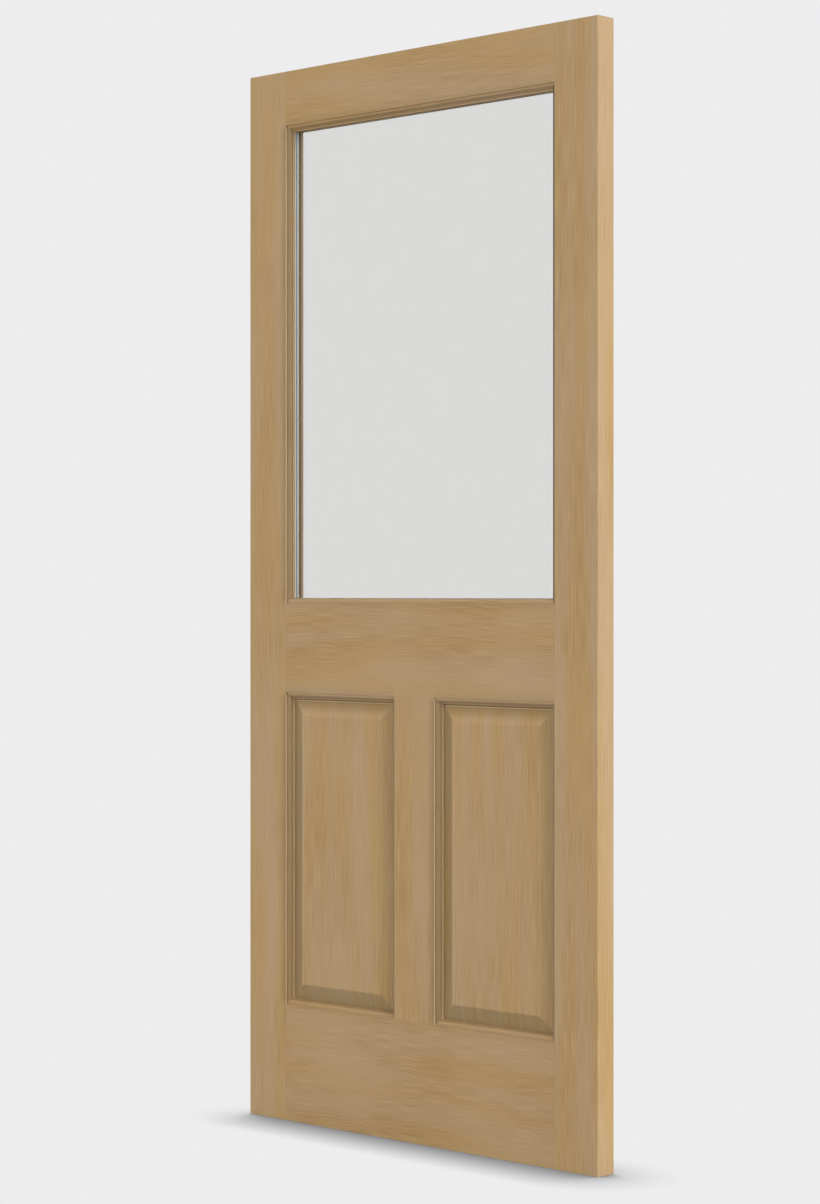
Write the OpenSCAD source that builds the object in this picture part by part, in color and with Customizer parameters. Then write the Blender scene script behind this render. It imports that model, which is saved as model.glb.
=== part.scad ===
// Half-glazed panel door leaf: two stiles, three rails and a mullion with an ovolo moulding worked
// on both faces, a sealed double-glazed unit over two raised panels, and loose glazing beads behind.
// Millimetres. X runs along the width, the front face looks to -Y, Z runs up from the bottom edge.

/* [Door leaf] */
// width of the leaf at its front face
door_w = 914.4; // [760:0.1:1070]
// height of the leaf
door_h = 2032; // [1900:1:2440]
// thickness of the leaf
door_t = 44.45; // [42:0.05:57]
// bevel of the lock edge in degrees, so that it clears the jamb as it swings
lock_bevel = 3; // [0:0.1:5]
// easing along the four upright corners of the leaf
arris = 1.2; // [0.4:0.1:3]

/* [Stiles and rails] */
// flat face width of each stile, without its moulding
stile_face = 103.6; // [85:0.1:140]
// flat face height of the top rail, without its moulding
top_rail_face = 105.1; // [85:0.1:180]
// flat face height of the lock rail between its two mouldings
lock_rail_face = 172.3; // [110:0.1:260]
// flat face height of the bottom rail, without its moulding
bottom_rail_face = 224.4; // [130:0.1:320]
// flat face width of the mullion between its two mouldings
mullion_face = 104.4; // [70:0.1:140]
// height of the panel openings, from face edge to face edge
panel_opening_h = 603.9; // [350:0.1:750]

/* [Moulding] */
// step from the face down to the crown of the ovolo
quirk = 3.2; // [1.5:0.1:4]
// flat at the crown before the round starts
crown_w = 3.6; // [1:0.1:5]
// radius of the ovolo
ovolo_r = 6.2; // [4:0.1:7]
// small flat between the ovolo and the edge of the opening
ledge_w = 1.2; // [0.6:0.1:3]
// width of the groove that the panels and the rail ends sit in
groove_w = 12.7; // [9:0.1:15]

/* [Panels] */
// thickness of a panel at its raised field
panel_t = 28.6; // [20:0.1:36]
// width of the sloping border between the tongue and the field
raise_w = 31.4; // [15:0.1:50]
// play of the panel tongue in the groove, per face
tongue_play = 0.15; // [0.05:0.01:0.3]
// room left at each side of a panel for the wood to move
panel_room = 1.6; // [0.5:0.1:3]

/* [Glazing] */
// thickness of each glass pane
pane_t = 3; // [2.5:0.1:4]
// clear space between the panes, kept by the spacer bar
pane_space = 4; // [3:0.1:6]
// room round the glass unit in its rebate, and the height of the setting blocks
edge_room = 3; // [2:0.1:4]
// thickness of the glazing tape on each side of the glass unit
tape_t = 2; // [1:0.1:3]
// how far the front tape stays back from the edge of the opening
front_tape_back = 0.2; // [0:0.1:2]
// how far the rear tape stays back from the edge of the beads
rear_tape_back = 2.5; // [0.8:0.1:4]
// height of the spacer bar's section
spacer_h = 5.5; // [4:0.1:7]
// how far the spacer bar shows past the edge of the opening
spacer_show = 0.4; // [0.2:0.1:1]
// room between the spacer bar and each pane for its bedding film
film = 0.2; // [0.1:0.05:0.4]
// width of the breather slot along the spacer bar
slot_w = 0.9; // [0.4:0.1:1.5]
// depth of the breather slot
slot_d = 0.9; // [0.4:0.1:1.5]
// length of each setting block
block_l = 100; // [50:1:150]

/* [Dowels] */
// diameter of the dowels
dowel_d = 15.9; // [13.5:0.1:18]
// length of the dowels between stiles and rails
dowel_l = 127; // [80:1:140]
// length of the dowels at the mullion ends
short_dowel_l = 76; // [50:1:100]
// play of a dowel in its hole, on the radius, for the glue
dowel_play = 0.1; // [0.05:0.01:0.2]
// free depth past each end of a dowel
dowel_end = 2; // [1:0.1:4]
// spacing of the two dowels at each end of the top rail
top_dowel_pitch = 50; // [30:1:60]
// spacing of the three dowels at each end of the lock rail
lock_dowel_pitch = 56; // [36:1:60]
// spacing of the four dowels at each end of the bottom rail
bottom_dowel_pitch = 52; // [30:1:60]
// spacing of the two dowels at each end of the mullion
mullion_dowel_pitch = 50; // [30:1:56]
// length of the taper at the dowel ends
dowel_taper = 1.5; // [0.5:0.1:3]
// glue flutes round each dowel
flutes = 10; // [6:1:14]
// radius of each flute
flute_r = 0.8; // [0.4:0.1:1.1]

/* [Bead pins] */
// diameter of the pins that hold the glazing beads
pin_d = 1.3; // [1:0.1:1.6]
// length of a pin
pin_l = 25; // [18:0.5:32]
// how far the pin heads are set below the bead
pin_set = 0.5; // [0.2:0.1:1]
// play of a pin in its hole, on the radius
pin_play = 0.05; // [0.02:0.01:0.1]
// pins in each upright bead
upright_pins = 5; // [3:1:8]
// pins in each level bead
level_pins = 4; // [2:1:6]
// distance of the end pins from the corners of the glazing
pin_inset = 60; // [40:1:100]

/* [Hidden] */
$fn = 64;
// half sizes of the leaf
half_w = door_w / 2;
half_t = door_t / 2;
// full width of the moulding, and the depth of wood between a face and the groove
stick_w = crown_w + ovolo_r + ledge_w;
lip = (door_t - groove_w) / 2;
// half the width between the stile faces, which is also half the length of a rail
inner = half_w - stile_face;
half_mullion = mullion_face / 2;
// face edges of the openings, from the bottom up
panel_z0 = bottom_rail_face;
panel_z1 = panel_z0 + panel_opening_h;
glass_z0 = panel_z1 + lock_rail_face;
glass_z1 = door_h - top_rail_face;
glass_h = glass_z1 - glass_z0;
glass_mid = (glass_z0 + glass_z1) / 2;
// lean of the lock edge over the thickness
bevel_x = door_t * tan(lock_bevel);
// panels: outline, tongue and distance of the field from the panel edge
panel_w = inner - half_mullion - 2 * panel_room;
panel_h = panel_opening_h - 2 * panel_room;
tongue_t = groove_w - 2 * tongue_play;
field_in = stick_w + raise_w;
// glass unit: outer size and the planes of its parts across the thickness
unit_t = 2 * pane_t + pane_space;
unit_w = 2 * (inner - edge_room);
unit_h = glass_h - 2 * edge_room;
front_tape_y = -half_t + lip;
front_pane_y = front_tape_y + tape_t;
space_y = front_pane_y + pane_t;
rear_pane_y = space_y + pane_space;
rear_tape_y = rear_pane_y + pane_t;
bead_y = rear_tape_y + tape_t;
bead_d = half_t - bead_y;
// rings round the glass unit, as distances in from the rebate wall
spacer_in = stick_w + spacer_show;
spacer_out = spacer_in - spacer_h;
front_tape_in = stick_w - front_tape_back;
rear_tape_in = stick_w - rear_tape_back;
// pin axis across the thickness, in the square part of the bead
pin_y = bead_y + (bead_d - quirk - ovolo_r) / 2;
// extra length of cutting shapes past the wood
cut = 5;

// section of one moulded lip: x runs from the face edge into the opening, y runs down from the face
module lip_2d(depth) {
    translate([0, quirk + ovolo_r])
        square([stick_w, depth - quirk - ovolo_r]);
    translate([0, quirk])
        square([crown_w, ovolo_r]);
    intersection() {
        translate([crown_w, quirk + ovolo_r])
            circle(ovolo_r);
        translate([crown_w, quirk])
            square(ovolo_r);
    }
}

// the front lip and the rear lip, with x from the face edge and y across the thickness
module front_lip_2d() {
    translate([0, -half_t])
        lip_2d(lip);
}

module rear_lip_2d() {
    mirror([0, 1])
        front_lip_2d();
}

// carries a section to lie along X: its x turns to Z and its y stays across the thickness
module along_x(length) {
    rotate([0, 90, 0])
        rotate([0, 0, 180])
            mirror([0, 1, 0])
                translate([0, 0, -length / 2])
                    linear_extrude(length)
                        children();
}

// dowel with glue flutes and tapered ends, along Z and centred
module dowel(length) {
    root_r = dowel_d / 2 - flute_r * 1.5;
    translate([0, 0, dowel_taper - length / 2])
        linear_extrude(length - 2 * dowel_taper)
            difference() {
                circle(d = dowel_d);
                for (i = [0 : flutes - 1])
                    rotate(360 / flutes * i)
                        translate([dowel_d / 2, 0])
                            circle(flute_r);
            }
    for (side = [0, 1])
        mirror([0, 0, side])
            translate([0, 0, length / 2 - dowel_taper])
                cylinder(r1 = root_r, r2 = root_r - dowel_taper, h = dowel_taper);
}

module dowel_hole(length) {
    cylinder(d = dowel_d + 2 * dowel_play, h = length + 2 * dowel_end, center = true);
}

// heights of the dowels at each rail
function row(mid, pitch, n) = [for (i = [0 : n - 1]) mid + (i - (n - 1) / 2) * pitch];
top_row = row((glass_z1 + door_h) / 2, top_dowel_pitch, 2);
lock_row = row((panel_z1 + glass_z0) / 2, lock_dowel_pitch, 3);
bottom_row = row(panel_z0 / 2, bottom_dowel_pitch, 4);

// stands its children at the joint between a stile and a rail, lying along X
module at_joint(side, heights) {
    for (z = heights)
        translate([side * inner, 0, z])
            rotate([0, 90, 0])
                children();
}

module at_both_joints(heights) {
    at_joint(-1, heights)
        children();
    at_joint(1, heights)
        children();
}

// stands its children at one end of the mullion
module at_mullion_end(z) {
    for (side = [-1, 1])
        translate([side * mullion_dowel_pitch / 2, 0, z])
            children();
}

// a stile of square section with its moulding towards +X and its face edge at x = 0
module stile_blank() {
    linear_extrude(door_h) {
        translate([-stile_face, -half_t])
            square([stile_face, door_t]);
        front_lip_2d();
    }
    linear_extrude(glass_z0)
        rear_lip_2d();
    translate([0, 0, glass_z1])
        linear_extrude(door_h - glass_z1)
            rear_lip_2d();
}

// the lips of both stiles, which the rail ends are coped over
module stile_lips(z0, z1) {
    for (side = [0, 1])
        mirror([side, 0, 0])
            translate([-inner, 0, z0 - cut])
                linear_extrude(z1 - z0 + 2 * cut) {
                    front_lip_2d();
                    rear_lip_2d();
                }
}

// corner easing: a small triangle over the corner point, with edges along a and b
module easing(corner, a, b) {
    translate([corner[0], corner[1], -cut])
        linear_extrude(door_h + 2 * cut)
            polygon([[-a[0] - b[0], -a[1] - b[1]] * arris, a * arris, b * arris]);
}

module hinge_stile() {
    color("burlywood")
        difference() {
            translate([-inner, 0, 0])
                stile_blank();
            easing([-half_w, -half_t], [1, 0], [0, 1]);
            easing([-half_w, half_t], [1, 0], [0, -1]);
            at_joint(-1, concat(top_row, lock_row, bottom_row))
                dowel_hole(dowel_l);
            bead_pin_holes();
        }
}

module lock_stile() {
    lean = [-sin(lock_bevel), cos(lock_bevel)];
    color("burlywood")
        difference() {
            mirror([1, 0, 0])
                translate([-inner, 0, 0])
                    stile_blank();
            translate([0, 0, -cut])
                linear_extrude(door_h + 2 * cut)
                    polygon([
                        [half_w, -half_t],
                        [half_w - bevel_x, half_t],
                        [half_w - bevel_x, half_t + cut],
                        [half_w + cut, half_t + cut],
                        [half_w + cut, -half_t]
                    ]);
            easing([half_w, -half_t], [-1, 0], lean);
            easing([half_w - bevel_x, half_t], [-1, 0], -lean);
            at_joint(1, concat(top_row, lock_row, bottom_row))
                dowel_hole(dowel_l);
            bead_pin_holes();
        }
}

// a rail between two heights, square in section and coped over the stiles at both ends
module rail_body(z0, z1) {
    translate([-inner, -half_t, z0])
        cube([2 * inner, door_t, z1 - z0]);
}

module top_rail() {
    color("tan")
        difference() {
            union() {
                rail_body(glass_z1, door_h);
                translate([0, 0, glass_z1])
                    mirror([0, 0, 1])
                        along_x(2 * inner)
                            front_lip_2d();
            }
            stile_lips(glass_z1 - stick_w, door_h);
            at_both_joints(top_row)
                dowel_hole(dowel_l);
            bead_pin_holes();
        }
}

module lock_rail() {
    color("tan")
        difference() {
            union() {
                rail_body(panel_z1, glass_z0);
                translate([0, 0, glass_z0])
                    along_x(2 * inner)
                        front_lip_2d();
                translate([0, 0, panel_z1])
                    mirror([0, 0, 1])
                        along_x(2 * inner) {
                            front_lip_2d();
                            rear_lip_2d();
                        }
            }
            stile_lips(panel_z1 - stick_w, glass_z0 + stick_w);
            at_both_joints(lock_row)
                dowel_hole(dowel_l);
            at_mullion_end(panel_z1)
                dowel_hole(short_dowel_l);
            bead_pin_holes();
        }
}

module bottom_rail() {
    color("tan")
        difference() {
            union() {
                rail_body(0, panel_z0);
                translate([0, 0, panel_z0])
                    along_x(2 * inner) {
                        front_lip_2d();
                        rear_lip_2d();
                    }
            }
            stile_lips(0, panel_z0 + stick_w);
            at_both_joints(bottom_row)
                dowel_hole(dowel_l);
            at_mullion_end(panel_z0)
                dowel_hole(short_dowel_l);
        }
}

// the mullion stands in the panel opening and is coped over both rails
module mullion() {
    color("burlywood")
        difference() {
            translate([0, 0, panel_z0])
                linear_extrude(panel_opening_h) {
                    translate([-half_mullion, -half_t])
                        square([mullion_face, door_t]);
                    for (side = [0, 1])
                        mirror([side, 0])
                            translate([half_mullion, 0]) {
                                front_lip_2d();
                                rear_lip_2d();
                            }
                }
            translate([0, 0, panel_z0])
                along_x(2 * inner) {
                    front_lip_2d();
                    rear_lip_2d();
                }
            translate([0, 0, panel_z1])
                mirror([0, 0, 1])
                    along_x(2 * inner) {
                        front_lip_2d();
                        rear_lip_2d();
                    }
            at_mullion_end(panel_z0)
                dowel_hole(short_dowel_l);
            at_mullion_end(panel_z1)
                dowel_hole(short_dowel_l);
        }
}

// section of a raised panel over a given size: tongue, slope, field, slope and tongue
module panel_2d(size) {
    polygon([
        [0, -tongue_t / 2],
        [stick_w, -tongue_t / 2],
        [field_in, -panel_t / 2],
        [size - field_in, -panel_t / 2],
        [size - stick_w, -tongue_t / 2],
        [size, -tongue_t / 2],
        [size, tongue_t / 2],
        [size - stick_w, tongue_t / 2],
        [size - field_in, panel_t / 2],
        [field_in, panel_t / 2],
        [stick_w, tongue_t / 2],
        [0, tongue_t / 2]
    ]);
}

// a panel stands on the groove of the bottom rail, midway between stile and mullion
module panel(side) {
    color("wheat")
        translate([side * (inner + half_mullion) / 2, 0, panel_z0])
            intersection() {
                translate([-panel_w / 2, 0, 0])
                    linear_extrude(panel_h)
                        panel_2d(panel_w);
                along_x(panel_w)
                    panel_2d(panel_h);
            }
}

module left_panel() {
    panel(-1);
}

module right_panel() {
    panel(1);
}

module top_rail_dowels() {
    color("peru")
        at_both_joints(top_row)
            dowel(dowel_l);
}

module lock_rail_dowels() {
    color("peru")
        at_both_joints(lock_row)
            dowel(dowel_l);
}

module bottom_rail_dowels() {
    color("peru")
        at_both_joints(bottom_row)
            dowel(dowel_l);
}

module mullion_dowels() {
    color("peru") {
        at_mullion_end(panel_z0)
            dowel(short_dowel_l);
        at_mullion_end(panel_z1)
            dowel(short_dowel_l);
    }
}

// an upright sheet centred on the glazing, its sides a given distance in from the rebate wall
module sheet(inset, y, thickness) {
    translate([-inner + inset, y, glass_z0 + inset])
        cube([2 * (inner - inset), thickness, glass_h - 2 * inset]);
}

// an upright ring between two such distances
module ring(outer, inside, y, thickness) {
    difference() {
        sheet(outer, y, thickness);
        sheet(inside, y - cut, thickness + 2 * cut);
    }
}

module front_pane() {
    color("lightblue")
        sheet(edge_room, front_pane_y, pane_t);
}

module rear_pane() {
    color("lightblue")
        sheet(edge_room, rear_pane_y, pane_t);
}

module spacer_bar() {
    color("silver")
        difference() {
            ring(spacer_out, spacer_in, space_y + film, pane_space - 2 * film);
            sheet(spacer_in - slot_d, space_y + (pane_space - slot_w) / 2, slot_w);
        }
}

module edge_seal() {
    color("dimgray")
        ring(edge_room, spacer_out, space_y, pane_space);
}

module front_glazing_tape() {
    color("gray")
        ring(edge_room, front_tape_in, front_tape_y, tape_t);
}

module rear_glazing_tape() {
    color("gray")
        ring(edge_room, rear_tape_in, rear_tape_y, tape_t);
}

// two blocks carry the glass unit on the lock rail
module setting_blocks() {
    color("black")
        for (side = [-1, 1])
            translate([side * inner / 2 - block_l / 2, front_pane_y, glass_z0])
                cube([block_l, unit_t, edge_room]);
}

// where each pin of a bead stands along it
function spread(length, n) =
    [for (i = [0 : n - 1]) -length / 2 + pin_inset + i * (length - 2 * pin_inset) / (n - 1)];

// pins of an upright bead, along X from the bead into the stile on the -X side
module upright_pin_row(d, start, length) {
    for (z = spread(glass_h, upright_pins))
        translate([-inner + stick_w - start, pin_y, glass_mid + z])
            rotate([0, -90, 0])
                cylinder(d = d, h = length, $fn = 24);
}

// pins of a level bead, along Z from the bead into the lock rail
module level_pin_row(d, start, length) {
    for (x = spread(2 * inner, level_pins))
        translate([x, pin_y, glass_z0 + stick_w - start - length])
            cylinder(d = d, h = length, $fn = 24);
}

module all_pin_rows(d, start, length) {
    for (side = [0, 1]) {
        mirror([side, 0, 0])
            upright_pin_row(d, start, length);
        translate([0, 0, glass_mid])
            mirror([0, 0, side])
                translate([0, 0, -glass_mid])
                    level_pin_row(d, start, length);
    }
}

module bead_pin_holes() {
    all_pin_rows(pin_d + 2 * pin_play, -cut, pin_l + pin_set + cut + dowel_end);
}

module bead_pins() {
    color("gainsboro")
        all_pin_rows(pin_d, pin_set, pin_l);
}

// section of a glazing bead: x from the rebate wall into the opening, y across the thickness
module bead_2d() {
    mirror([0, 1])
        translate([0, -half_t])
            lip_2d(bead_d);
}

// keeps the part of a bead between two mitres: x away from the wall, z along the bead
module mitre(length) {
    translate([0, half_t + cut, 0])
        rotate([90, 0, 0])
            linear_extrude(door_t + 2 * cut)
                polygon([
                    [0, -length / 2],
                    [stick_w, -length / 2 + stick_w],
                    [stick_w, length / 2 - stick_w],
                    [0, length / 2]
                ]);
}

// a bead along Z against a wall at x = 0, mitred at both ends
module bead(length) {
    intersection() {
        translate([0, 0, -length / 2])
            linear_extrude(length)
                bead_2d();
        mitre(length);
    }
}

module upright_bead() {
    difference() {
        translate([-inner, 0, glass_mid])
            bead(glass_h);
        bead_pin_holes();
    }
}

module hinge_side_bead() {
    color("burlywood")
        upright_bead();
}

module lock_side_bead() {
    color("burlywood")
        mirror([1, 0, 0])
            upright_bead();
}

module level_bead() {
    difference() {
        translate([0, 0, -glass_h / 2])
            rotate([0, -90, 0])
                bead(2 * inner);
        translate([0, 0, -glass_mid])
            bead_pin_holes();
    }
}

module bottom_bead() {
    color("tan")
        translate([0, 0, glass_mid])
            level_bead();
}

module top_bead() {
    color("tan")
        translate([0, 0, glass_mid])
            mirror([0, 0, 1])
                level_bead();
}

hinge_stile();
lock_stile();
top_rail();
lock_rail();
bottom_rail();
mullion();
left_panel();
right_panel();
top_rail_dowels();
lock_rail_dowels();
bottom_rail_dowels();
mullion_dowels();
front_pane();
rear_pane();
spacer_bar();
edge_seal();
front_glazing_tape();
rear_glazing_tape();
setting_blocks();
hinge_side_bead();
lock_side_bead();
top_bead();
bottom_bead();
bead_pins();
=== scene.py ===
import math

import bpy
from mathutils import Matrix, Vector


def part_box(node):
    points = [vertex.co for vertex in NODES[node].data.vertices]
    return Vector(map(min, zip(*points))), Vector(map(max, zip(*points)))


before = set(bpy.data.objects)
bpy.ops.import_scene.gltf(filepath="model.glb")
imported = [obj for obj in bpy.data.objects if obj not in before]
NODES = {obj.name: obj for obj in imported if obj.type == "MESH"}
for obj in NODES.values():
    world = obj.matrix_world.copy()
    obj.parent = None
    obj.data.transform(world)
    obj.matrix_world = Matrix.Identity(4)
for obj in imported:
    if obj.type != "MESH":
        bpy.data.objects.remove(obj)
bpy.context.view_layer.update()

# Looks of a half-glazed panel door leaf: clear-finished softwood, a double-glazed unit, a pale stage.

scene = bpy.context.scene
scene.view_settings.view_transform = "Standard"


# Shader helpers

def linear(r, g, b):
    """A screen colour, 0 to 255 each, as a linear shader colour."""
    def one(v):
        v /= 255.0
        return v / 12.92 if v <= 0.04045 else ((v + 0.055) / 1.055) ** 2.4
    return (one(r), one(g), one(b), 1.0)


class Tree:
    """Adds shader nodes to a material or a world and links them."""

    def __init__(self, owner, out_kind="ShaderNodeOutputMaterial"):
        owner.use_nodes = True
        self.owner = owner
        self.nt = owner.node_tree
        self.nt.nodes.clear()
        self.out = self.node(out_kind)

    def node(self, kind, **props):
        n = self.nt.nodes.new(kind)
        for key, value in props.items():
            setattr(n, key, value)
        return n

    def put(self, socket, value):
        """Links a socket to another one, or sets it to a plain value."""
        if isinstance(value, bpy.types.NodeSocket):
            self.nt.links.new(value, socket)
        else:
            socket.default_value = value

    def math(self, op, *values):
        n = self.node("ShaderNodeMath", operation=op)
        for socket, value in zip(n.inputs, values):
            self.put(socket, value)
        return n.outputs[0]

    def ramp(self, value, lo, hi, to_lo=0.0, to_hi=1.0, smooth=False):
        """Maps lo..hi to to_lo..to_hi, held at the ends."""
        n = self.node("ShaderNodeMapRange", clamp=True)
        n.interpolation_type = "SMOOTHSTEP" if smooth else "LINEAR"
        for socket, v in zip(n.inputs, (value, lo, hi, to_lo, to_hi)):
            self.put(socket, v)
        return n.outputs[0]

    def fade(self, value, lo, hi):
        """1 at lo and below it, 0 at hi and above it."""
        return self.ramp(value, lo, hi, 1.0, 0.0)

    def combine(self, x, y, z):
        n = self.node("ShaderNodeCombineXYZ")
        for socket, v in zip(n.inputs, (x, y, z)):
            self.put(socket, v)
        return n.outputs[0]

    def split(self, vector):
        n = self.node("ShaderNodeSeparateXYZ")
        self.put(n.inputs[0], vector)
        return n.outputs

    def noise(self, vector, scale=1.0, detail=0.0):
        n = self.node("ShaderNodeTexNoise")
        self.put(n.inputs["Vector"], vector)
        n.inputs["Scale"].default_value = scale
        n.inputs["Detail"].default_value = detail
        return n.outputs["Fac"]

    def mix(self, share, a, b):
        n = self.node("ShaderNodeMix", data_type="RGBA")
        for socket, v in zip((n.inputs[0], n.inputs[6], n.inputs[7]), (share, a, b)):
            self.put(socket, v)
        return n.outputs[2]

    def blend(self, share, a, b):
        """Goes from number a to number b as the share goes from 0 to 1."""
        return self.ramp(share, 0.0, 1.0, a, b)

    def darken(self, colour, factor):
        """A colour times one factor."""
        n = self.node("ShaderNodeVectorMath", operation="SCALE")
        self.put(n.inputs[0], colour)
        self.put(n.inputs["Scale"], factor)
        return n.outputs[0]

    def tinted(self, colour, tint):
        """A colour times another, channel by channel."""
        n = self.node("ShaderNodeVectorMath", operation="MULTIPLY")
        self.put(n.inputs[0], colour)
        self.put(n.inputs[1], tint)
        return n.outputs[0]

    def bump(self, height, strength, distance):
        n = self.node("ShaderNodeBump")
        n.inputs["Strength"].default_value = strength
        n.inputs["Distance"].default_value = distance
        self.put(n.inputs["Height"], height)
        return n.outputs[0]

    def shader(self, kind, **sockets):
        n = self.node(kind)
        for key, value in sockets.items():
            self.put(n.inputs[key.replace("_", " ")], value)
        return n.outputs[0]

    def principled(self, **sockets):
        return self.shader("ShaderNodeBsdfPrincipled", **sockets)

    def mix_shader(self, share, a, b):
        n = self.node("ShaderNodeMixShader")
        for socket, v in zip(n.inputs, (share, a, b)):
            self.put(socket, v)
        return n.outputs[0]

    def seen_directly(self):
        """1 for what the eye sees straight, in a mirror or through glass, 0 for light on other surfaces."""
        path = self.node("ShaderNodeLightPath").outputs
        straight = self.math("MAXIMUM", path["Is Camera Ray"], path["Is Glossy Ray"])
        return self.math("MAXIMUM", straight, path["Is Transmission Ray"])

    def finish(self, shader):
        self.nt.links.new(shader, self.out.inputs["Surface"])
        return self.owner


def material(name):
    return Tree(bpy.data.materials.new(name))


# Places on the leaf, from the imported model, in metres

HALF_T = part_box("mullion")[1].y
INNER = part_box("lock_rail")[1].x
PANEL_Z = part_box("mullion")[0].z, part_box("mullion")[1].z
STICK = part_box("hinge_side_bead")[1].x + INNER
HALF_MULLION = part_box("mullion")[1].x - STICK
GLASS_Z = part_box("bottom_bead")[0].z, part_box("top_bead")[1].z
FIELD_DEPTH = HALF_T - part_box("left_panel")[1].y

# Wood colours of the clear finish

STRAW = linear(172, 141, 93)
ROSE = linear(172, 145, 110)
LATE = linear(149, 117, 72)
END_GRAIN = linear(146, 114, 76)
JOINT = linear(96, 74, 48)
# PALE is mixed in for painted light on moulding walls and on a panel's crease and upper lip, and for paler
# long edges
PALE = linear(214, 192, 158)

# In metres: how deep below a face the crown and the ledge of a moulding lie, and the fall and the width of a
# panel's border
CROWN_DEPTH = 0.0032
LEDGE_DEPTH = 0.0094
BORDER_FALL = 0.0080
RAISE_W = 0.0314

# Painted light and shade on a moulding, standing in for light on its walls and shade in its hollows: how pale
# its quirk wall and its lower wall are painted, the tones of its crown, of the foot of its round and of its
# lower wall as shares of the plain wood, and by how much the tones of the round and of the lower wall and the
# paleness of the lower wall are multiplied beside the glass
UPRIGHT_MOULDING_SHADING = {
    "pale": (0.5, 0.22),
    "crown": 0.63,
    "foot": 0.61,
    "wall": 0.97,
    "by_glass": (1.0, 0.85, 0.45),
}
LOCK_MOULDING_SHADING = {**UPRIGHT_MOULDING_SHADING, "by_glass": (0.5, 0.85, 0.45)}
LEVEL_MOULDING_SHADING = {"pale": (0.0, 0.0), "crown": 0.94, "foot": 0.72, "wall": 1.0, "by_glass": (1.0, 1.0, 1.0)}
BEAD_MOULDING_SHADING = {"pale": (0.0, 0.0), "crown": 0.9, "foot": 0.8, "wall": 0.78, "by_glass": (1.0, 1.0, 1.0)}

# Where the tones of a moulding change, in metres: past its outline, before its crown, past its ledge, and
# below the glass opening
OUTLINE_SOFT = 0.0005
CROWN_SOFT = 0.0003, 0.0001
LEDGE_SOFT = 0.0002, 0.0004
SILL_SOFT = 0.01

# Painted light and shade on the moulding under a rail: tones by the quirk, on the round and at the foot of
# the round, and the stretches below the rail's edge over which they change, in metres
UNDER_QUIRK = 1.6
UNDER_ROUND = 0.71
UNDER_FOOT = 1.75
UNDER_START = 0.0003
UNDER_QUIRK_RUN = 0.0010, 0.0049
UNDER_FOOT_RUN = 0.0076, 0.0102

# How pale the long edges of the leaf are, and how far from the openings that is full, in metres
EDGE_PALE = 0.036
EDGE_START = 0.05

# How dark the line at a joint is, and where it fades, in metres from the joint
JOINT_SHARE = 0.4
JOINT_FADE = 0.0002, 0.0010

# Spans of a face's normal: how far it turns to the front or back, to the end of the fibres, to a side of a
# moulding and to a long edge of the leaf
FACE_TURN = 0.3, 0.7
END_TURN = 0.8, 0.95
SIDE_TURN = 0.1, 0.3
EDGE_TURN = 0.9, 0.97

# Painted light and shade on a panel: how much darker its border is painted, how much on its right, and how
# pale the painted highlight along its crease and its upper lip is
BORDER_LOSS = 0.27
BORDER_LOSS_RIGHT = 0.12
CREASE_PALE = 0.41
LIP_PALE = 0.8

# Where on a panel's border these come, as shares of its fall: the darker tone begins and is full, first on
# the sides that lean down or right and then on those that lean up, and the lip, crease and field
SHADE_BEGIN = 0.0, 0.2
SHADE_FULL = 0.12, 0.75
LIP_FALL = 0.95, 1.0
CREASE_FALL = 0.06, 0.1
FIELD_FALL = 0.0, 0.02

# How a lean to the right counts beside a lean upwards, and the spans of the border's normal that tell its
# sides apart
RIGHT_WEIGHT = -1.5
LEAN_SPAN = -0.25, 0.25
LIP_LEAN = 0.05, 0.2
RIGHT_LEAN = -0.05, 0.15
LEFT_LEAN = -0.2, -0.1
WARM_LEAN = 0.02, 0.15

# Tints of the painted shade on the border: none, on its left and below, and on its right and above
WHITE = (1.0, 1.0, 1.0, 1.0)
OLIVE = (0.985, 1.02, 1.0, 1.0)
AMBER = (1.0, 0.99, 0.86, 1.0)

# Painted shade on the flat beside a moulding, darker towards its edge: how far, how steeply, where it fades
# past the ends of an opening, down to which depth a face counts as flat, and how much it darkens left of,
# above and below an opening
HALO_REACH = 0.019
HALO_POWER = 1.4
HALO_ENDS = -0.006, 0.012
FLAT_DEPTH = 0.0005, 0.001
HALO_LEFT = 0.33
HALO_ABOVE = 0.13
HALO_BELOW = 0.08

# Painted shade on a panel's field towards its right edge: how far in metres, and how much
FIELD_REACH = 0.013
FIELD_LOSS = 0.09

# Layers of the grain: streaks per metre across and along it, what flat-sawn wood adds to both, the detail of
# the noise, the layer's own place in it and the span of the noise that shows
BROAD = (20.0, 1.6), (0.0, 0.4), 1.0, 0.0, (0.3, 0.7)
PATCH = (8.0, 3.5), (0.0, 0.0), 0.0, 3.0, (0.38, 0.62)
LINES = (430.0, 14.0), (320.0, 0.0), 0.0, 5.0, (0.32, 0.68)
STREAK = (150.0, 4.0), (0.0, 0.0), 0.0, 17.0, (0.3, 0.7)
HAIR = (1100.0, 45.0), (0.0, 0.0), 1.0, 11.0, (0.3, 0.7)

# How far apart in the noise two pieces lie for each step between their seeds, and the middle of the noise
SEED_STEP = 3.7
NOISE_MIDDLE = 0.5

# How the growth rings wander: waves per metre across, deep and along, their bends in metres, and how much of
# the depth counts as a step across the rings on the front and back
SLOW_WAVE = 2.5, 2.0, 1.1
SHORT_WAVE = 9.0, 9.0, 20.0
SLOW_BEND = 0.014
SLOW_BEND_FLAT_SAWN = 0.022
SHORT_BEND = 0.007
FACE_DEPTH_SHARE = 0.08

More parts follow.
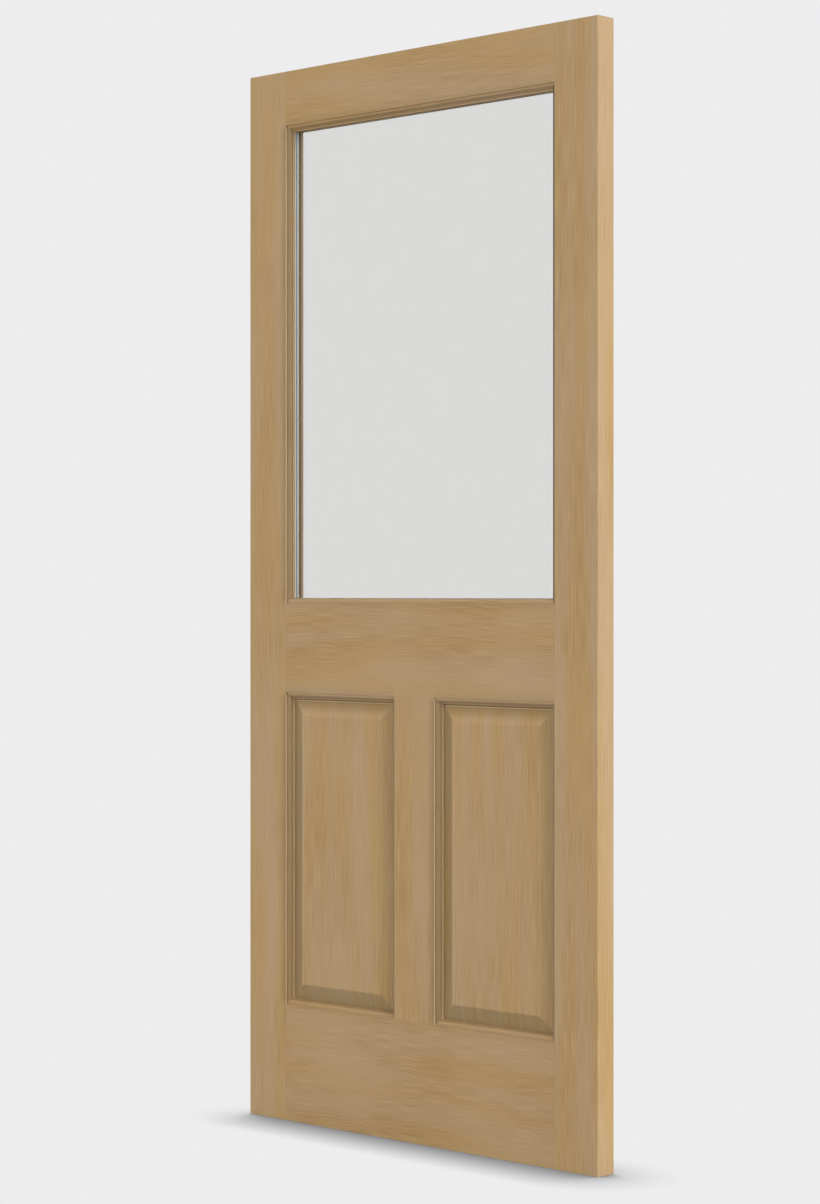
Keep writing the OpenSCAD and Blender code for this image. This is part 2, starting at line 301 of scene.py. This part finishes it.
# How much the layers colour the wood: the late lines at their faintest, at their boldest, what flat-sawn
# wood adds, and their share on rosy wood, then the tones of the streaks and of the hairs
LINES_FAINT = 0.3
LINES_BOLD = 0.62
LINES_BOLD_FLAT_SAWN = 0.2
LINES_ON_ROSE = 0.6
STREAK_TONES = 0.985, 1.015
HAIR_TONES = 0.975, 1.03

# Ends of the fibres: pores per metre, and how much of the late lines shows there
PORES = 900.0
END_LINES = 0.6

# Surface of the finish: shares of lines and hairs in its sheen, the height of a hair beside a line, and its
# roughness, gloss and bump
SHEEN_LINES = 0.6
SHEEN_HAIR = 0.4
HAIR_HEIGHT = 0.5
WOOD_ROUGH = 0.5, 0.62
WOOD_GLOSS = 0.3
WOOD_BUMP = 0.1, 0.0003

# Tone of the dowels as a share of the plain wood
DOWEL_TONE = 1.08


class Grain:
    """The grain of one piece in its material: colour, roughness and bump, from the place on the log."""

    def __init__(self, t, lengthwise, seed, wavy):
        self.t = t
        self.coord = t.node("ShaderNodeTexCoord")
        self.x, self.y, self.z = t.split(self.coord.outputs["Object"])
        self.nx, self.ny, self.nz = t.split(self.coord.outputs["Normal"])
        self.upright = lengthwise == "z"
        self.across, self.along = (self.x, self.z) if self.upright else (self.z, self.x)
        self.shift = SEED_STEP * seed
        self.wavy = wavy
        self.ring = self.rings()
        self.broad = self.layer(*BROAD, smooth=True)
        self.patch = self.layer(*PATCH)
        self.lines = self.layer(*LINES)
        self.streak = self.layer(*STREAK)
        self.hair = self.layer(*HAIR)
        self.boldest = LINES_BOLD + LINES_BOLD_FLAT_SAWN * wavy

    def rings(self):
        """Place across the growth rings, which wander slowly and on flat-sawn wood in short waves."""
        t = self.t
        slow = t.noise(self.at(*SLOW_WAVE))
        slow_bend = SLOW_BEND + SLOW_BEND_FLAT_SAWN * self.wavy
        bend = t.math("MULTIPLY", t.math("SUBTRACT", slow, NOISE_MIDDLE), slow_bend)
        if self.wavy:
            short = t.noise(self.at(*SHORT_WAVE), detail=1.0)
            off = t.math("SUBTRACT", short, NOISE_MIDDLE)
            bend = t.math("MULTIPLY_ADD", off, SHORT_BEND * self.wavy, bend)
        deep = t.ramp(t.math("ABSOLUTE", self.ny), *FACE_TURN, 1.0, FACE_DEPTH_SHARE)
        return t.math("ADD", t.math("MULTIPLY_ADD", self.y, deep, self.across), bend)

    def at(self, per_m_across, per_m_deep, per_m_along):
        t = self.t
        return t.combine(
            t.math("MULTIPLY_ADD", self.across, per_m_across, self.shift),
            t.math("MULTIPLY", self.y, per_m_deep),
            t.math("MULTIPLY_ADD", self.along, per_m_along, self.shift))

    def bands(self, per_m, per_m_along, detail, place):
        """Streaks along the grain, so many per metre across and along it."""
        t = self.t
        return t.noise(t.combine(
            t.math("MULTIPLY_ADD", self.ring, per_m, self.shift + place), place,
            t.math("MULTIPLY_ADD", self.along, per_m_along, self.shift)), detail=detail)

    def layer(self, rates, flat_sawn, detail, place, span, smooth=False):
        """One layer of streaks, from 0 to 1."""
        across, along = (rate + more * self.wavy for rate, more in zip(rates, flat_sawn))
        return self.t.ramp(self.bands(across, along, detail, place), *span, smooth=smooth)

    def colour(self):
        t = self.t
        col = t.mix(self.broad, STRAW, ROSE)
        by_patch = t.blend(self.patch, LINES_FAINT, self.boldest)
        seen = t.math("MULTIPLY", by_patch, t.blend(self.broad, 1.0, LINES_ON_ROSE))
        col = t.mix(t.math("MULTIPLY", self.lines, seen), col, LATE)
        col = t.darken(col, t.blend(self.streak, *STREAK_TONES))
        col = t.darken(col, t.blend(self.hair, *HAIR_TONES))
        # faces across the grain show the ends of the fibres
        facing = t.math("ABSOLUTE", self.nz if self.upright else self.nx)
        pores = t.noise(self.coord.outputs["Object"], PORES, detail=1.0)
        ends = t.mix(t.math("MULTIPLY", self.lines, END_LINES), END_GRAIN, t.mix(pores, LATE, STRAW))
        return t.mix(t.ramp(facing, *END_TURN), col, ends)

    def depth(self):
        """Depth below the nearer face of the leaf."""
        return self.t.math("SUBTRACT", HALF_T, self.t.math("ABSOLUTE", self.y))

    def finish(self, col):
        t = self.t
        hair_sheen = t.math("MULTIPLY", self.hair, SHEEN_HAIR)
        sheen = t.math("MULTIPLY_ADD", self.lines, SHEEN_LINES, hair_sheen)
        height = t.math("SUBTRACT", t.math("MULTIPLY", self.hair, HAIR_HEIGHT), self.lines)
        return t.finish(t.principled(
            Base_Color=col, Roughness=t.blend(sheen, *WOOD_ROUGH),
            Specular_IOR_Level=WOOD_GLOSS, Normal=t.bump(height, *WOOD_BUMP)))


def shade_moulding(g, col, pale, crown, foot, wall, by_glass):
    """Painted shade on the rounds of a moulding and painted light on the walls of its steps."""
    t = g.t
    depth = g.depth()
    across = t.fade(t.math("ABSOLUTE", g.x), INNER, INNER + OUTLINE_SOFT)
    up = t.math("MULTIPLY", t.ramp(g.z, PANEL_Z[0] - OUTLINE_SOFT, PANEL_Z[0]),
                t.fade(g.z, GLASS_Z[1], GLASS_Z[1] + OUTLINE_SOFT))
    inside = t.math("MULTIPLY", across, up)
    sideways = t.math("MULTIPLY", inside, t.fade(t.math("ABSOLUTE", g.ny), *SIDE_TURN))
    past_quirk = t.ramp(depth, *(CROWN_DEPTH - soft for soft in CROWN_SOFT))
    past_round = t.ramp(depth, *(LEDGE_DEPTH + soft for soft in LEDGE_SOFT))
    tone = t.blend(past_round, t.ramp(depth, CROWN_DEPTH, LEDGE_DEPTH, crown, foot), wall)
    beside_glass = t.ramp(g.z, GLASS_Z[0] - SILL_SOFT, GLASS_Z[0])
    round_tone, wall_tone, wall_share = by_glass
    glass_tone = t.blend(past_round, round_tone, wall_tone)
    tone = t.math("MULTIPLY", tone, t.blend(beside_glass, 1.0, glass_tone))
    # painted shade: the crown, round and lower wall are darkened by their tones
    col = t.darken(col, t.blend(t.math("MULTIPLY", inside, past_quirk), 1.0, tone))
    # painted light: the quirk wall and the lower wall are mixed towards PALE
    quirk_pale, wall_pale = pale
    by_wall = t.blend(beside_glass, wall_pale, wall_pale * wall_share)
    wall_light = t.blend(past_round, t.blend(past_quirk, quirk_pale, 0.0), by_wall)
    return t.mix(t.math("MULTIPLY", sideways, wall_light), col, PALE)


def shade_under_rail(g, col, edge):
    """Paints light and shade on the moulding that hangs under a rail from its edge: pale by the quirk, darker
    on the round.
    """
    t = g.t
    run = t.math("SUBTRACT", edge, g.z)
    by_quirk = t.ramp(run, *UNDER_QUIRK_RUN, UNDER_QUIRK, UNDER_ROUND)
    tone = t.blend(t.ramp(run, *UNDER_FOOT_RUN), by_quirk, UNDER_FOOT)
    return t.darken(col, t.blend(t.ramp(run, 0.0, UNDER_START), 1.0, tone))


def paler_long_edges(g, col):
    """The long edges of the leaf are a little paler."""
    t = g.t
    outside = t.ramp(t.math("ABSOLUTE", g.x), INNER, INNER + EDGE_START)
    edge = t.math("MULTIPLY", outside, t.ramp(t.math("ABSOLUTE", g.nx), *EDGE_TURN))
    return t.mix(t.math("MULTIPLY", edge, EDGE_PALE), col, PALE)


def shade_beside_moulding(g, col, axis, edge, inward, loss, spans):
    """Paints shade on the flat face beside a moulding whose edge lies at edge, over the spans of the
    openings.
    """
    t = g.t
    place, other = (g.x, g.z) if axis == "x" else (g.z, g.x)
    away = t.math("MULTIPLY", t.math("SUBTRACT", place, edge), inward)
    near = t.math("POWER", t.fade(away, 0.0, HALO_REACH), HALO_POWER)
    flat = t.fade(g.depth(), *FLAT_DEPTH)
    total = 0.0
    for lo, hi in spans:
        inside = t.math("MINIMUM", t.math("SUBTRACT", other, lo), t.math("SUBTRACT", hi, other))
        total = t.math("ADD", t.ramp(inside, *HALO_ENDS, smooth=True), total)
    amount = t.math("MULTIPLY", t.math("MULTIPLY", near, flat), total)
    return t.darken(col, t.blend(amount, 1.0, 1.0 - loss))


def joint_lines(g, col, lo, hi):
    """A fine dark line where the piece butts its neighbours at both ends."""
    t = g.t
    gap = t.math("MINIMUM", t.math("SUBTRACT", g.along, lo), t.math("SUBTRACT", hi, g.along))
    return t.mix(t.ramp(gap, *JOINT_FADE, JOINT_SHARE, 0.0, smooth=True), col, JOINT)


def frame_wood(name, lengthwise, seed, finish, wavy=0.0, ends=None, halos=(), hang=None, planed=False):
    """Wood of a stile, rail, mullion or bead, its mouldings toned apart from its faces with painted light and
    shade.
    """
    g = Grain(material(name), lengthwise, seed, wavy)
    col = shade_moulding(g, g.colour(), **finish)
    for halo in halos:
        col = shade_beside_moulding(g, col, *halo)
    if hang:
        col = shade_under_rail(g, col, hang)
    if planed:
        col = paler_long_edges(g, col)
    if ends:
        col = joint_lines(g, col, *ends)
    return g.finish(col)


def panel_wood(name, seed, right_edge):
    """Wood of a raised panel: painted shade on its border and on its field near right_edge, painted
    highlights on its crease and upper lip.
    """
    g = Grain(material(name), "z", seed, 0.0)
    t = g.t
    # painted shade on the sloping border, by the way it leans
    fall = t.math("DIVIDE", t.math("SUBTRACT", g.depth(), FIELD_DEPTH), BORDER_FALL)
    lean = t.math("MULTIPLY_ADD", t.math("MAXIMUM", g.nx, 0.0), RIGHT_WEIGHT, g.nz)
    begin = t.ramp(lean, *LEAN_SPAN, *SHADE_BEGIN)
    full = t.ramp(lean, *LEAN_SPAN, *SHADE_FULL)
    lip = t.ramp(fall, *LIP_FALL, 0.0, t.ramp(g.nz, *LIP_LEAN))
    slope = t.math("MULTIPLY", t.ramp(fall, begin, full, smooth=True), t.math("SUBTRACT", 1.0, lip))
    loss = t.ramp(g.nx, *RIGHT_LEAN, BORDER_LOSS, BORDER_LOSS_RIGHT)
    col = t.darken(g.colour(), t.math("SUBTRACT", 1.0, t.math("MULTIPLY", slope, loss)))
    warm = t.ramp(t.math("MAXIMUM", g.nx, g.nz), *WARM_LEAN)
    col = t.tinted(col, t.mix(slope, WHITE, t.mix(warm, OLIVE, AMBER)))
    # painted highlight on the upper lip
    col = t.mix(t.math("MULTIPLY", lip, LIP_PALE), col, PALE)
    # painted highlight along the crease
    leftward = t.fade(g.nx, *LEFT_LEAN)
    crease = t.math("MULTIPLY", leftward, t.fade(fall, *CREASE_FALL))
    col = t.mix(t.math("MULTIPLY", crease, CREASE_PALE), col, PALE)
    # painted shade on the field near its right edge
    level = t.fade(fall, *FIELD_FALL)
    near = t.fade(t.math("SUBTRACT", right_edge, g.x), 0.0, FIELD_REACH)
    return g.finish(t.darken(col, t.blend(t.math("MULTIPLY", level, near), 1.0, 1.0 - FIELD_LOSS)))


def dowel_wood(name, lengthwise, seed):
    g = Grain(material(name), lengthwise, seed, 0.0)
    return g.finish(g.t.darken(g.colour(), DOWEL_TONE))


# Other materials

# Brown on the spacer bar's rear margin, a sealant line that also stands in for shade, and painted brown shade
# on the top run of bar and tape: colours, and places in metres
SEALANT = linear(148, 123, 82)
TOP_RUN_SHADE = linear(182, 154, 112)
SEALANT_W = 0.0010
SEALANT_EDGE = 0.0002
TOP_RUN_ROOM = 0.0006
TOP_RUN = GLASS_Z[1] - STICK - TOP_RUN_ROOM

# Glass: what each face lets through, what it mirrors seen straight, and how steeply that grows
CLEAR = (0.951, 0.951, 0.948, 1.0)
MIRROR_LEAST = 0.02
MIRROR_POWER = 5.0

# Metal: clouds per metre, shares of clouds and lines in its tone, and its roughness over a span of lines
CLOUDS = 14.0
CLOUD_SHARE = 0.6
LINE_SHARE = 0.4
METAL_SPAN = 0.2, 0.8
METAL_ROUGH = 0.34, 0.5

# Rubber and tape: the span of noise that shows, roughness, gloss and bump
RUBBER_SPAN = 0.3, 0.7
RUBBER_ROUGH = 0.62, 0.8
RUBBER_GLOSS = 0.35
RUBBER_BUMP = 0.3, 0.0003


def sealant_and_shade(t, col, behind, above):
    """Brown sealant, partly painted shade, behind a depth, and painted brown shade above a height."""
    _, y, z = t.split(t.node("ShaderNodeTexCoord").outputs["Object"])
    # a sealant line, partly painted shade, behind the depth
    col = t.mix(t.ramp(y, behind, behind + SEALANT_EDGE), col, SEALANT)
    # painted brown shade on the top run, above the height
    return t.mix(t.ramp(z, above, above + SEALANT_EDGE), col, TOP_RUN_SHADE)


def pane_glass(name):
    """Clear sheet, tinted a little on each face, that mirrors more the flatter it is seen."""
    t = material(name)
    edge_on = t.node("ShaderNodeLayerWeight").outputs["Facing"]
    mirror = t.blend(t.math("POWER", edge_on, MIRROR_POWER), MIRROR_LEAST, 1.0)
    clear = t.shader("ShaderNodeBsdfTransparent", Color=CLEAR)
    gloss = t.shader("ShaderNodeBsdfGlossy", Color=WHITE, Roughness=0.0)
    return t.finish(t.mix_shader(mirror, clear, gloss))


def drawn_metal(name, dark, light, metallic, stretch, cover=None):
    """Metal with fine lines along its run and a cloudy tone, with sealant and painted shade in places."""
    t = material(name)
    place = t.node("ShaderNodeTexCoord").outputs["Object"]
    x, y, z = t.split(place)
    spread = (t.math("MULTIPLY", v, per_m) for v, per_m in zip((x, y, z), stretch))
    lines = t.noise(t.combine(*spread), detail=1.0)
    cloud = t.noise(place, CLOUDS, detail=2.0)
    tone = t.math("MULTIPLY_ADD", cloud, CLOUD_SHARE, t.math("MULTIPLY", lines, LINE_SHARE))
    col = t.mix(tone, dark, light)
    if cover:
        col = sealant_and_shade(t, col, *cover)
    return t.finish(t.principled(
        Base_Color=col, Metallic=metallic, Roughness=t.ramp(lines, *METAL_SPAN, *METAL_ROUGH)))


def rubber(name, dark, light, scale, cover=None):
    """Rubber, tape or sealant with a fine grain, with brown sealant and painted brown shade in places."""
    t = material(name)
    grain = t.noise(t.node("ShaderNodeTexCoord").outputs["Object"], scale, detail=2.0)
    col = t.mix(t.ramp(grain, *RUBBER_SPAN), dark, light)
    if cover:
        col = sealant_and_shade(t, col, *cover)
    return t.finish(t.principled(
        Base_Color=col, Roughness=t.ramp(grain, *RUBBER_SPAN, *RUBBER_ROUGH),
        Specular_IOR_Level=RUBBER_GLOSS, Normal=t.bump(grain, *RUBBER_BUMP)))


# Finish of every node

def dress(finish, *nodes):
    """Gives nodes one finish in place of their own."""
    for node in nodes:
        slots = NODES[node].data.materials
        slots.clear()
        slots.append(finish)


RAIL_ENDS = -INNER, INNER
PANEL_X = (-INNER, -HALF_MULLION), (HALF_MULLION, INNER)

# Flats with painted shade: the axis across the edge, where the edge lies, the way from it to the flat, how
# much darker, and the openings along it
STILE_HALO = "x", -INNER, -1.0, HALO_LEFT, (PANEL_Z, GLASS_Z)
MULLION_HALO = "x", HALF_MULLION, -1.0, HALO_LEFT, (PANEL_Z,)
TOP_HALO = "z", GLASS_Z[1], 1.0, HALO_ABOVE, (RAIL_ENDS,)
SILL_HALO = "z", GLASS_Z[0], -1.0, HALO_BELOW, (RAIL_ENDS,)
LOCK_HALO = "z", PANEL_Z[1], 1.0, HALO_ABOVE, PANEL_X
FOOT_HALO = "z", PANEL_Z[0], -1.0, HALO_BELOW, PANEL_X

# Wooden pieces: the seed of the grain, and of each the painted light and shade on its mouldings, its joints,
# its flats with painted shade and its hanging moulding with painted light and shade
UPRIGHTS = {
    "hinge_stile": {"seed": 1.0, "finish": UPRIGHT_MOULDING_SHADING, "planed": True, "halos": [STILE_HALO]},
    "lock_stile": {"seed": 2.0, "finish": LOCK_MOULDING_SHADING, "planed": True},
    "mullion": {"seed": 23.0, "finish": UPRIGHT_MOULDING_SHADING, "ends": PANEL_Z, "halos": [MULLION_HALO]},
}
RAILS = {
    "top_rail": {"seed": 6.0, "halos": [TOP_HALO], "hang": GLASS_Z[1]},
    "lock_rail": {"seed": 7.0, "halos": [SILL_HALO, LOCK_HALO], "hang": PANEL_Z[1]},
    "bottom_rail": {"seed": 8.0, "halos": [FOOT_HALO]},
}
BEADS = {
    "hinge_side_bead": ("z", 9.0),
    "lock_side_bead": ("z", 10.0),
    "top_bead": ("x", 11.0),
    "bottom_bead": ("x", 12.0),
}
PANELS = {
    "left_panel": (4.0, PANEL_X[0][1]),
    "right_panel": (31.0, PANEL_X[1][1]),
}
LEVEL_DOWEL_SEED = 13.0
UPRIGHT_DOWEL_SEED = 14.0

# Metals: the finish's name, darker and lighter tone, how metallic, lines per metre along x, y and z, and
# where sealant and painted shade begin
SPACER_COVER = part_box("spacer_bar")[1].y - SEALANT_W, TOP_RUN
METALS = {
    "spacer_bar": ("spacer_aluminium", linear(226, 236, 237), linear(240, 247, 247), 0.1,
                   (6.0, 2600.0, 6.0), SPACER_COVER),
    "bead_pins": ("pin_steel", linear(150, 150, 148), linear(196, 196, 194), 1.0, (900.0, 900.0, 900.0)),
}

# Rubbers and tapes: the finish's name, darker and lighter tone, grains per metre, and where sealant and
# painted shade begin
TAPE_COVER = HALF_T, TOP_RUN
RUBBERS = {
    "edge_seal": ("sealant", linear(60, 60, 61), linear(78, 78, 79), 600.0),
    "front_glazing_tape": ("pale_tape", linear(176, 185, 186), linear(196, 204, 205), 1200.0, TAPE_COVER),
    "rear_glazing_tape": ("bronze_tape", linear(140, 116, 77), linear(158, 132, 92), 1200.0),
    "setting_blocks": ("block_rubber", linear(30, 30, 31), linear(44, 44, 45), 500.0),
}

for node, look in UPRIGHTS.items():
    dress(frame_wood(node + "_fir", "z", **look), node)
for node, look in RAILS.items():
    dress(frame_wood(node + "_fir", "x", finish=LEVEL_MOULDING_SHADING, wavy=1.0, ends=RAIL_ENDS, **look), node)
for node, (lengthwise, seed) in BEADS.items():
    dress(frame_wood(node + "_fir", lengthwise, seed, BEAD_MOULDING_SHADING), node)
for node, (seed, opening_end) in PANELS.items():
    dress(panel_wood(node + "_fir", seed, opening_end - STICK - RAISE_W), node)
dress(dowel_wood("level_dowel_beech", "x", LEVEL_DOWEL_SEED),
      "top_rail_dowels", "lock_rail_dowels", "bottom_rail_dowels")
dress(dowel_wood("upright_dowel_beech", "z", UPRIGHT_DOWEL_SEED), "mullion_dowels")
dress(pane_glass("clear_pane"), "front_pane", "rear_pane")
for node, look in METALS.items():
    dress(drawn_metal(*look), node)
for node, look in RUBBERS.items():
    dress(rubber(*look), node)

# Stage: a wide pale floor with a painted soft contact shadow of the leaf

BACKGROUND = linear(237, 237, 237)
FLOOR_HALF = 30.0
FLOOR_DROP = 0.0002
FLOOR_GREY = (0.45, 0.45, 0.45, 1.0)
# Painted contact shadow: its reach in metres, samples, the lean of its hemisphere, and the occlusion that
# reads darkest
SHADOW_REACH = 0.14
SHADOW_SAMPLES = 16
SHADOW_LEAN = Vector((-0.36, 0.36, 0.86)).normalized()
SHADOW_DEEPEST = 0.12


def pale_floor():
    """Shows the background's colour with a contact shadow painted from ambient occlusion, and lights the leaf
    as matt grey.
    """
    t = material("pale_floor")
    open_sky = t.node("ShaderNodeAmbientOcclusion", samples=SHADOW_SAMPLES)
    open_sky.inputs["Distance"].default_value = SHADOW_REACH
    t.put(open_sky.inputs["Normal"], t.combine(*SHADOW_LEAN))
    shadow = t.ramp(open_sky.outputs["AO"], SHADOW_DEEPEST, 1.0)
    glow = t.shader("ShaderNodeEmission", Color=t.darken(BACKGROUND[:3], shadow))
    matt = t.shader("ShaderNodeBsdfDiffuse", Color=FLOOR_GREY)
    return t.finish(t.mix_shader(t.seen_directly(), matt, glow))


mesh = bpy.data.meshes.new("floor")
corners = [(x * FLOOR_HALF, y * FLOOR_HALF, -FLOOR_DROP) for x, y in ((-1, -1), (1, -1), (1, 1), (-1, 1))]
mesh.from_pydata(corners, [], [(0, 1, 2, 3)])
mesh.materials.append(pale_floor())
floor = bpy.data.objects.new("floor", mesh)
scene.collection.objects.link(floor)

# Light: an even sky, a soft key from in front, a strong side light from the right, a fill from behind

SKY = 0.55

# Each lamp: the direction it shines from, its strength, and its spread in degrees
LAMPS = {
    "key": ((-0.16, -0.85, 0.50), 1.25, 50),
    "side": ((0.955, -0.08, 0.28), 3.05, 45),
    "back": ((-0.50, 0.75, 0.45), 1.7, 60),
}

scene.world = bpy.data.worlds.new("studio")
sky = Tree(scene.world, "ShaderNodeOutputWorld")
light = sky.shader("ShaderNodeBackground", Color=(SKY, SKY, SKY, 1.0))
shown = sky.shader("ShaderNodeBackground", Color=BACKGROUND)
sky.finish(sky.mix_shader(sky.seen_directly(), light, shown))


def lamp(name, direction, strength, spread):
    """A soft distant lamp that shines from a direction, spread over an angle in degrees."""
    data = bpy.data.lights.new(name, "SUN")
    data.energy = strength
    data.angle = math.radians(spread)
    obj = bpy.data.objects.new(name, data)
    obj.rotation_euler = Vector(direction).to_track_quat("Z", "Y").to_euler()
    scene.collection.objects.link(obj)


for lamp_name, settings in LAMPS.items():
    lamp(lamp_name, *settings)

# Camera: level, solved from the leaf's corners in a frame of 820 x 1204 pixels

FRAME_H_PX = 1204.0
FOCAL_PX = 3019.1
HORIZON_UP_PX = 8.5
SENSOR_MM = 36.0
EYE = (3.9786, -3.9656, 1.0204)
TURN_DEG = 45.33

lens = bpy.data.cameras.new("camera")
lens.sensor_width = SENSOR_MM
lens.lens = SENSOR_MM * FOCAL_PX / FRAME_H_PX
lens.shift_y = -HORIZON_UP_PX / FRAME_H_PX
camera = bpy.data.objects.new("camera", lens)
camera.location = EYE
camera.rotation_euler = (math.radians(90.0), 0.0, math.radians(TURN_DEG))
scene.collection.objects.link(camera)
scene.camera = camera
